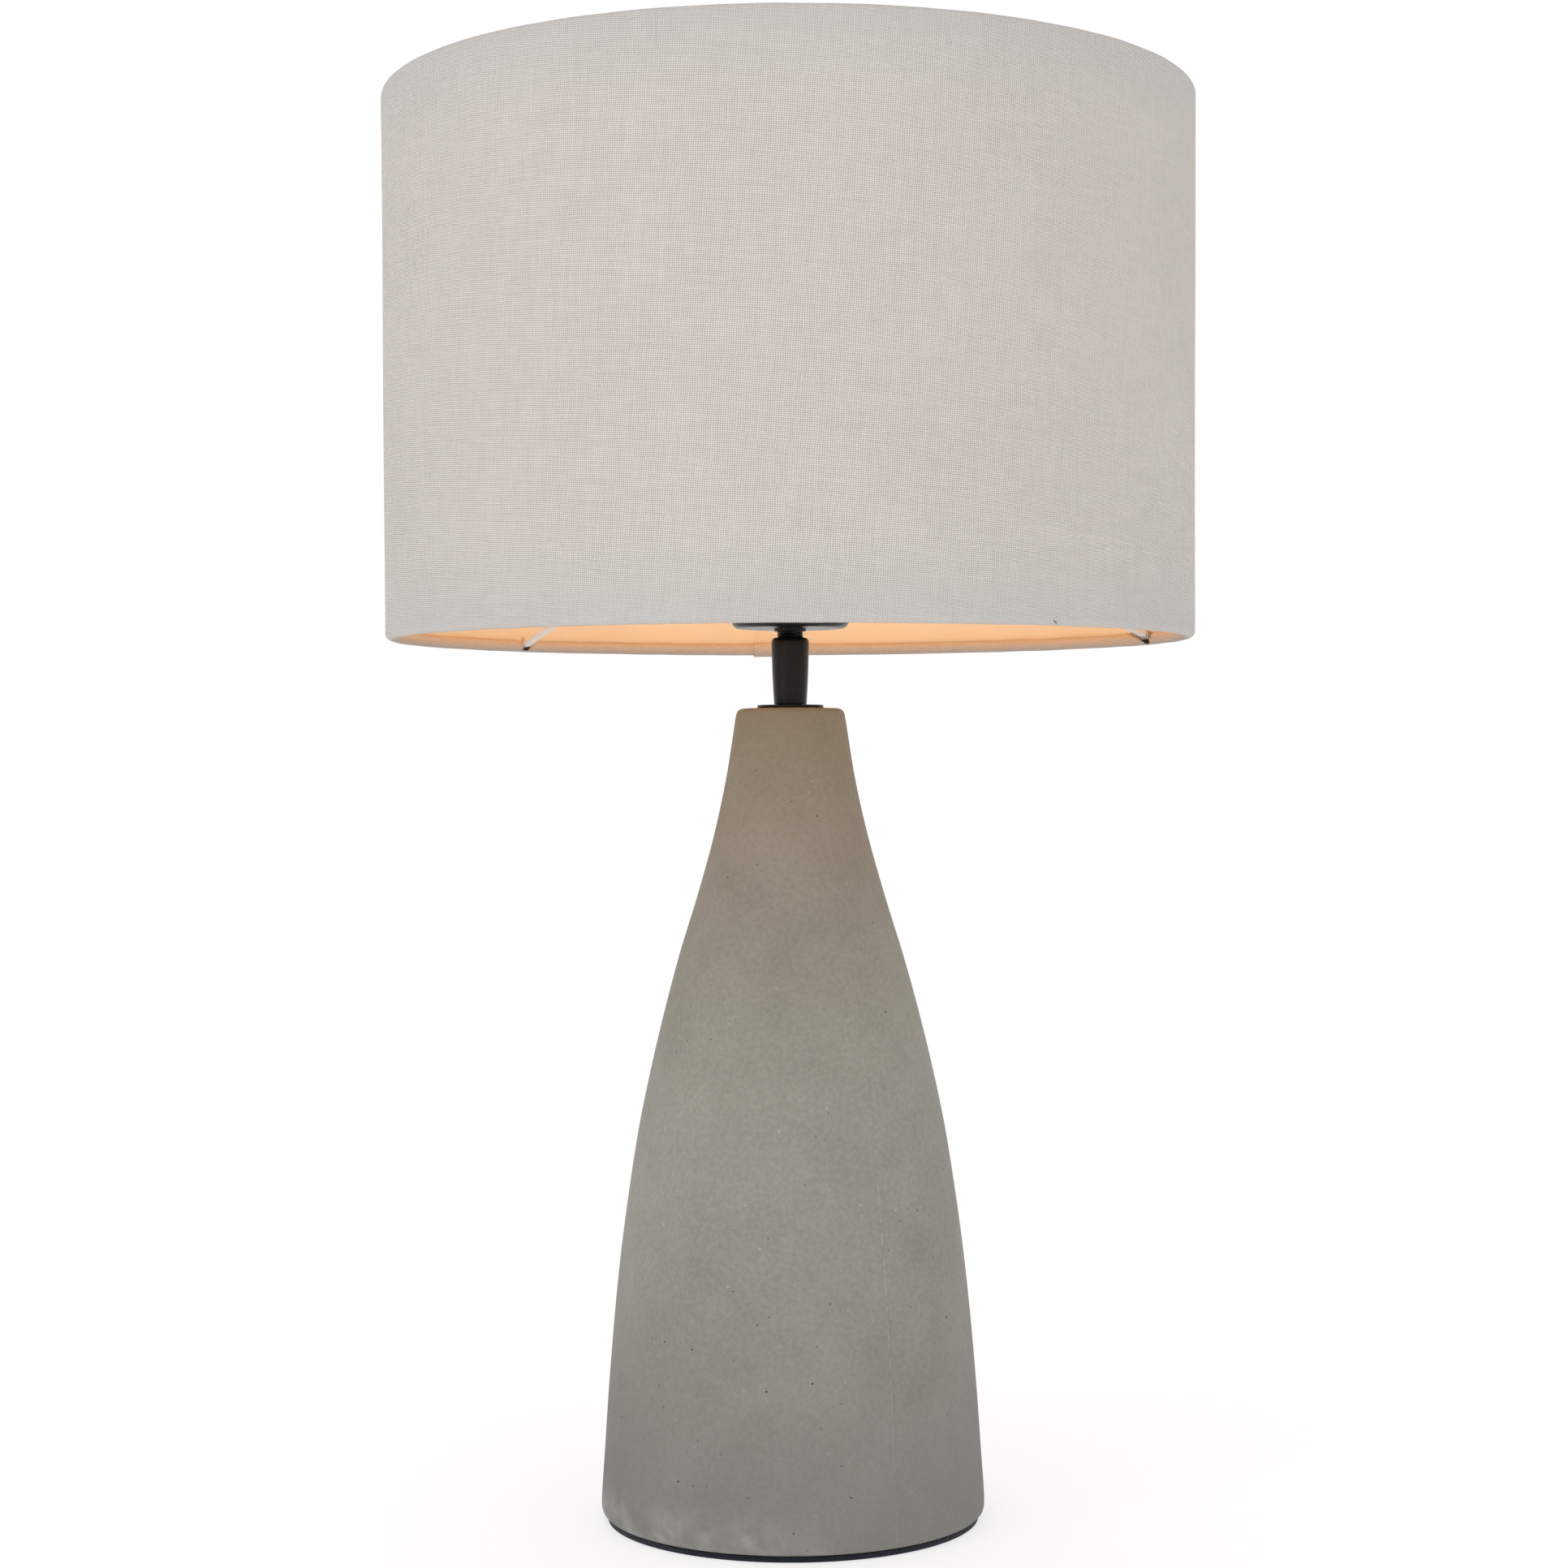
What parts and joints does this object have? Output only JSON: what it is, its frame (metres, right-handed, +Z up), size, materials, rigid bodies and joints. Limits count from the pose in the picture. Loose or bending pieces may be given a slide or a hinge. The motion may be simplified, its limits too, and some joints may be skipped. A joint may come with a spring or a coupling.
{
  "type": "table lamp with shade",
  "caption": "Table lamp: bottle-shaped cast concrete foot, black neck and lampholder, screw-in lamp, and a linen drum shade on a three-spoke wire frame.",
  "frame": {"origin": "middle of the pad's underside, on the surface that the lamp stands on", "axes": "+Z up along the rod; -Y towards the viewer; the cord outlet is at the back, towards +Y"},
  "size_m": [0.3, 0.3005, 0.5243],
  "materials": {
    "felt": "matte",
    "concrete": "matte",
    "zinc_steel": "satin",
    "black_metal": "satin",
    "black_rubber": "matte",
    "black_phenolic": "gloss",
    "porcelain": "gloss",
    "brass": "satin",
    "nickel": "satin",
    "white_plastic": "satin",
    "opal_plastic": "satin",
    "vitrite": "gloss",
    "solder": "satin",
    "linen": "matte",
    "liner_film": "satin",
    "white_painted_steel": "gloss"
  },
  "bodies": {
    "base": {"base_pad": "felt", "concrete_body": "concrete", "base_plate": "zinc_steel", "clamp_washer": "zinc_steel", "lock_washer": "zinc_steel", "clamp_nut": "zinc_steel", "threaded_rod": "black_metal", "rod_end_bush": "black_rubber", "cord_grommet": "black_rubber", "top_washer": "black_metal", "neck_tube": "black_metal", "holder_cap": "black_phenolic", "cap_grub_screw": "brass", "holder_sleeve": "black_phenolic", "holder_insert": "porcelain", "live_terminal": "brass", "neutral_terminal": "brass", "live_terminal_screw": "zinc_steel", "neutral_terminal_screw": "zinc_steel", "shell_tab": "brass", "screw_shell": "nickel"},
    "contact": {"contact_plunger": "brass", "contact_spring": "zinc_steel"},
    "bulb": {"bulb_tip_contact": "solder", "bulb_insulator": "vitrite", "bulb_screw_cap": "nickel", "bulb_housing": "white_plastic", "bulb_led_board": "white_plastic", "bulb_globe": "opal_plastic"},
    "ring": {"shade_ring": "black_phenolic"},
    "shade": {"shade_fabric": "linen", "fabric_seam": "linen", "shade_liner": "liner_film", "top_hem": "linen", "bottom_hem": "linen", "top_wire_ring": "white_painted_steel", "bottom_wire_ring": "white_painted_steel", "fitter_ring": "white_painted_steel", "spoke_1": "white_painted_steel", "spoke_2": "white_painted_steel", "spoke_3": "white_painted_steel"}
  },
  "joints": [
    {"name": "shade_turn", "type": "hinge", "parent": "base", "child": "shade", "pos_m": [0, 0, 0.3647], "axis": [0, 0, 1], "continuous": true},
    {"name": "shade_ring_turn", "type": "hinge", "parent": "base", "child": "ring", "pos_m": [0, 0, 0.3702], "axis": [0, 0, 1], "continuous": true},
    {"name": "contact_lift", "type": "slide", "parent": "base", "child": "contact", "axis": [0, 0, 1], "range_m": [0, 0.00243], "deforming": ["contact_spring"]},
    {"name": "bulb_screw", "type": "hinge", "parent": "contact", "child": "bulb", "pos_m": [0, 0, 0.37], "axis": [0, 0, 1], "range_deg": [0, 240]}
  ],
  "couplings": [
    {"joint": "contact_lift", "follows": "bulb_screw", "m_per_rad": 0.00057773}
  ]
}
